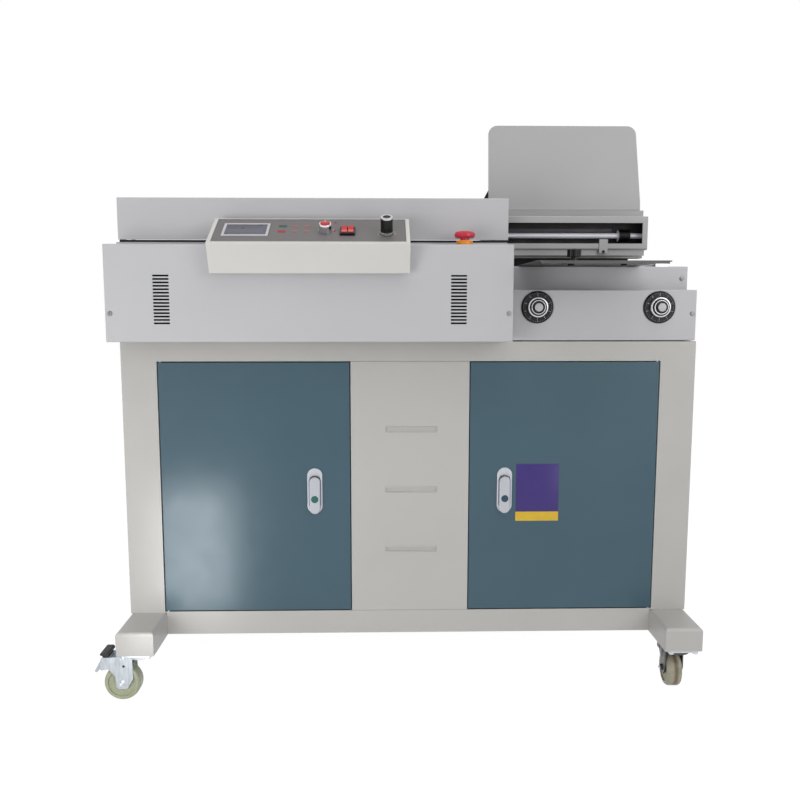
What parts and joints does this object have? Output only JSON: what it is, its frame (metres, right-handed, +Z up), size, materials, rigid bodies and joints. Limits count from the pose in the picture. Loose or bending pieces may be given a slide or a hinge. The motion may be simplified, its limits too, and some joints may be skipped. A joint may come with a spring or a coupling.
{
  "type": "book binding machine",
  "caption": "Floor-standing hot-glue book binder: hinged hood, sliding book clamp, cover tray and dials on a wheeled two-door cabinet.",
  "frame": {"origin": "on the floor below the middle of the cabinet front edge", "axes": "+X to the operator's right, +Y away from the operator, +Z up"},
  "size_m": [1.2707, 0.6733, 1.2155],
  "materials": {
    "cabinet_paint": "fine satin powder coat",
    "head_paint": "fine satin powder coat",
    "door_paint": "satin powder coat",
    "box_paint": "satin powder coat",
    "fascia_film": "matt printed film",
    "display": "gloss",
    "zinc": "zinc plated",
    "nylon": "cast nylon",
    "black_rubber": "matt",
    "lock_chrome": "satin chrome",
    "lock_button_teal": "gloss",
    "lock_button_blue": "gloss",
    "rocker_red": "gloss",
    "knob_metal": "polished",
    "knob_black": "satin",
    "stop_yellow": "gloss",
    "stop_red": "gloss",
    "ground_steel": "ground",
    "carriage_black": "black paint",
    "tray_steel": "satin grey paint",
    "tank_cast": "cast"
  },
  "bodies": {
    "frame": {"foot_beams": "cabinet_paint", "cabinet_sides": "cabinet_paint", "cabinet_floor": "cabinet_paint", "cabinet_back": "cabinet_paint", "front_frame": "cabinet_paint", "centre_panel": "cabinet_paint", "inner_walls": "cabinet_paint", "top_deck": "cabinet_paint", "front_cover": "head_paint", "rear_housing": "head_paint", "right_front_panel": "head_paint", "right_step_panel": "head_paint", "hood_bridge": "head_paint", "control_box": "box_paint", "control_fascia": "fascia_film", "lcd_window": "display", "caster_plates": "zinc", "door_hinges": "zinc", "stop_collar": "stop_yellow", "guide_rails": "ground_steel", "cutter_motor": "carriage_black", "glue_tank": "tank_cast"},
    "left_door": {"left_door": "door_paint", "left_lock_base": "lock_chrome"},
    "left_lock_spindle": {"left_lock_spindle": "lock_chrome"},
    "left_lock_lever": {"left_lock_lever": "lock_chrome"},
    "left_lock_button": {"left_lock_button": "lock_button_teal"},
    "right_door": {"right_door": "door_paint", "right_lock_base": "lock_chrome"},
    "right_lock_spindle": {"right_lock_spindle": "lock_chrome"},
    "right_lock_lever": {"right_lock_lever": "lock_chrome"},
    "right_lock_button": {"right_lock_button": "lock_button_blue"},
    "hood": {"hood": "head_paint"},
    "carriage": {"carriage_frame": "carriage_black", "back_jaw": "head_paint", "book_rest_plate": "head_paint"},
    "clamp_jaw": {"front_jaw": "head_paint", "jaw_shafts": "ground_steel"},
    "nip": {"nip_table": "ground_steel", "cover_tray": "tray_steel"},
    "tray_knob": {"tray_knob": "knob_black"},
    "left_dial": {"left_dial": "knob_black"},
    "right_dial": {"right_dial": "knob_black"},
    "cutter": {"cutter_disc": "ground_steel"},
    "glue_roller": {"glue_roller": "ground_steel"},
    "selector_knob": {"selector_knob": "knob_metal"},
    "speed_knob": {"speed_knob": "knob_black"},
    "left_rocker": {"left_rocker": "rocker_red"},
    "right_rocker": {"right_rocker": "rocker_red"},
    "stop_cap": {"stop_cap": "stop_red"},
    "front_left_fork": {"front_left_fork": "zinc"},
    "front_left_wheel": {"front_left_wheel": "nylon"},
    "front_left_brake_pedal": {"front_left_brake_pedal": "black_rubber"},
    "front_right_fork": {"front_right_fork": "zinc"},
    "front_right_wheel": {"front_right_wheel": "nylon"},
    "front_right_brake_pedal": {"front_right_brake_pedal": "black_rubber"},
    "rear_left_fork": {"rear_left_fork": "zinc"},
    "rear_left_wheel": {"rear_left_wheel": "nylon"},
    "rear_right_fork": {"rear_right_fork": "zinc"},
    "rear_right_wheel": {"rear_right_wheel": "nylon"}
  },
  "joints": [
    {"name": "left_door_swing", "type": "hinge", "parent": "frame", "child": "left_door", "pos_m": [-0.5201, 0.0045, 0.429], "axis": [0, 0, -1], "range_deg": [0, 100]},
    {"name": "left_lock_turn", "type": "hinge", "parent": "left_door", "child": "left_lock_spindle", "pos_m": [-0.2015, -0.0066, 0.451], "axis": [0, -1, 0], "range_deg": [0, 90]},
    {"name": "left_lever_pop", "type": "hinge", "parent": "left_lock_spindle", "child": "left_lock_lever", "pos_m": [-0.2015, -0.0066, 0.451], "axis": [-1, 0, 0], "range_deg": [0, 30]},
    {"name": "left_button_push", "type": "slide", "parent": "left_lock_lever", "child": "left_lock_button", "axis": [0, 1, 0], "range_m": [0, 0.0018], "stiffness_N_per_m": 400},
    {"name": "right_door_swing", "type": "hinge", "parent": "frame", "child": "right_door", "pos_m": [0.5201, 0.0045, 0.429], "axis": [0, 0, 1], "range_deg": [0, 100]},
    {"name": "right_lock_turn", "type": "hinge", "parent": "right_door", "child": "right_lock_spindle", "pos_m": [0.2015, -0.0066, 0.451], "axis": [0, 1, 0], "range_deg": [0, 90]},
    {"name": "right_lever_pop", "type": "hinge", "parent": "right_lock_spindle", "child": "right_lock_lever", "pos_m": [0.2015, -0.0066, 0.451], "axis": [-1, 0, 0], "range_deg": [0, 30]},
    {"name": "right_button_push", "type": "slide", "parent": "right_lock_lever", "child": "right_lock_button", "axis": [0, 1, 0], "range_m": [0, 0.0018], "stiffness_N_per_m": 400},
    {"name": "hood_lift", "type": "hinge", "parent": "frame", "child": "hood", "pos_m": [0, 0.111, 1.024], "axis": [-1, 0, 0], "range_deg": [0, 75]},
    {"name": "carriage_travel", "type": "slide", "parent": "frame", "child": "carriage", "axis": [-1, 0, 0], "range_m": [0, 0.7]},
    {"name": "clamp_close", "type": "slide", "parent": "carriage", "child": "clamp_jaw", "axis": [0, 1, 0], "range_m": [0, 0.05]},
    {"name": "nip_lift", "type": "slide", "parent": "frame", "child": "nip", "axis": [0, 0, 1], "range_m": [0, 0.012]},
    {"name": "tray_knob_turn", "type": "hinge", "parent": "nip", "child": "tray_knob", "pos_m": [0.33, -0.035, 0.898], "axis": [0, 0, 1], "continuous": true},
    {"name": "left_dial_turn", "type": "hinge", "parent": "frame", "child": "left_dial", "pos_m": [0.264, 0, 0.811], "axis": [0, -1, 0], "continuous": true},
    {"name": "right_dial_turn", "type": "hinge", "parent": "frame", "child": "right_dial", "pos_m": [0.519, 0, 0.811], "axis": [0, -1, 0], "continuous": true},
    {"name": "cutter_spin", "type": "hinge", "parent": "frame", "child": "cutter", "pos_m": [0.06, 0.135, 0.916], "axis": [0, 0, 1], "continuous": true},
    {"name": "glue_roller_spin", "type": "hinge", "parent": "frame", "child": "glue_roller", "pos_m": [-0.18, 0.135, 0.89], "axis": [0, 1, 0], "continuous": true},
    {"name": "selector_turn", "type": "hinge", "parent": "frame", "child": "selector_knob", "pos_m": [-0.168, -0.08141, 0.95801], "axis": [0, -0.4809, 0.8768], "range_deg": [-60, 60]},
    {"name": "speed_turn", "type": "hinge", "parent": "frame", "child": "speed_knob", "pos_m": [-0.049, -0.08842, 0.95416], "axis": [0, -0.4809, 0.8768], "range_deg": [0, 270]},
    {"name": "left_rocker_tip", "type": "hinge", "parent": "frame", "child": "left_rocker", "pos_m": [-0.1313, -0.08316, 0.95705], "axis": [-1, 0, 0], "range_deg": [0, 18]},
    {"name": "right_rocker_tip", "type": "hinge", "parent": "frame", "child": "right_rocker", "pos_m": [-0.1187, -0.08316, 0.95705], "axis": [-1, 0, 0], "range_deg": [0, 18]},
    {"name": "stop_push", "type": "slide", "parent": "frame", "child": "stop_cap", "axis": [0, 0, -1], "range_m": [0, 0.005], "stiffness_N_per_m": 2500},
    {"name": "front_left_swivel", "type": "hinge", "parent": "frame", "child": "front_left_fork", "pos_m": [-0.56175, -0.066, 0.1007], "axis": [0, 0, 1], "continuous": true},
    {"name": "front_left_roll", "type": "hinge", "parent": "front_left_fork", "child": "front_left_wheel", "pos_m": [-0.59875, -0.066, 0.0375], "axis": [0, -1, 0], "continuous": true},
    {"name": "front_left_brake", "type": "hinge", "parent": "front_left_fork", "child": "front_left_brake_pedal", "pos_m": [-0.61375, -0.066, 0.079], "axis": [0, -1, 0], "range_deg": [0, 12]},
    {"name": "front_right_swivel", "type": "hinge", "parent": "frame", "child": "front_right_fork", "pos_m": [0.56175, -0.066, 0.1007], "axis": [0, 0, 1], "continuous": true},
    {"name": "front_right_roll", "type": "hinge", "parent": "front_right_fork", "child": "front_right_wheel", "pos_m": [0.56433, -0.02909, 0.0375], "axis": [-0.9976, 0.0698, 0], "continuous": true},
    {"name": "front_right_brake", "type": "hinge", "parent": "front_right_fork", "child": "front_right_brake_pedal", "pos_m": [0.56538, -0.01413, 0.079], "axis": [-0.9976, 0.0698, 0], "range_deg": [0, 12]},
    {"name": "rear_left_swivel", "type": "hinge", "parent": "frame", "child": "rear_left_fork", "pos_m": [-0.56175, 0.439, 0.1007], "axis": [0, 0, 1], "continuous": true},
    {"name": "rear_left_roll", "type": "hinge", "parent": "rear_left_fork", "child": "rear_left_wheel", "pos_m": [-0.56175, 0.476, 0.0375], "axis": [-1, 0, 0], "continuous": true},
    {"name": "rear_right_swivel", "type": "hinge", "parent": "frame", "child": "rear_right_fork", "pos_m": [0.56175, 0.439, 0.1007], "axis": [0, 0, 1], "continuous": true},
    {"name": "rear_right_roll", "type": "hinge", "parent": "rear_right_fork", "child": "rear_right_wheel", "pos_m": [0.58025, 0.47104, 0.0375], "axis": [-0.866, 0.5, 0], "continuous": true}
  ]
}
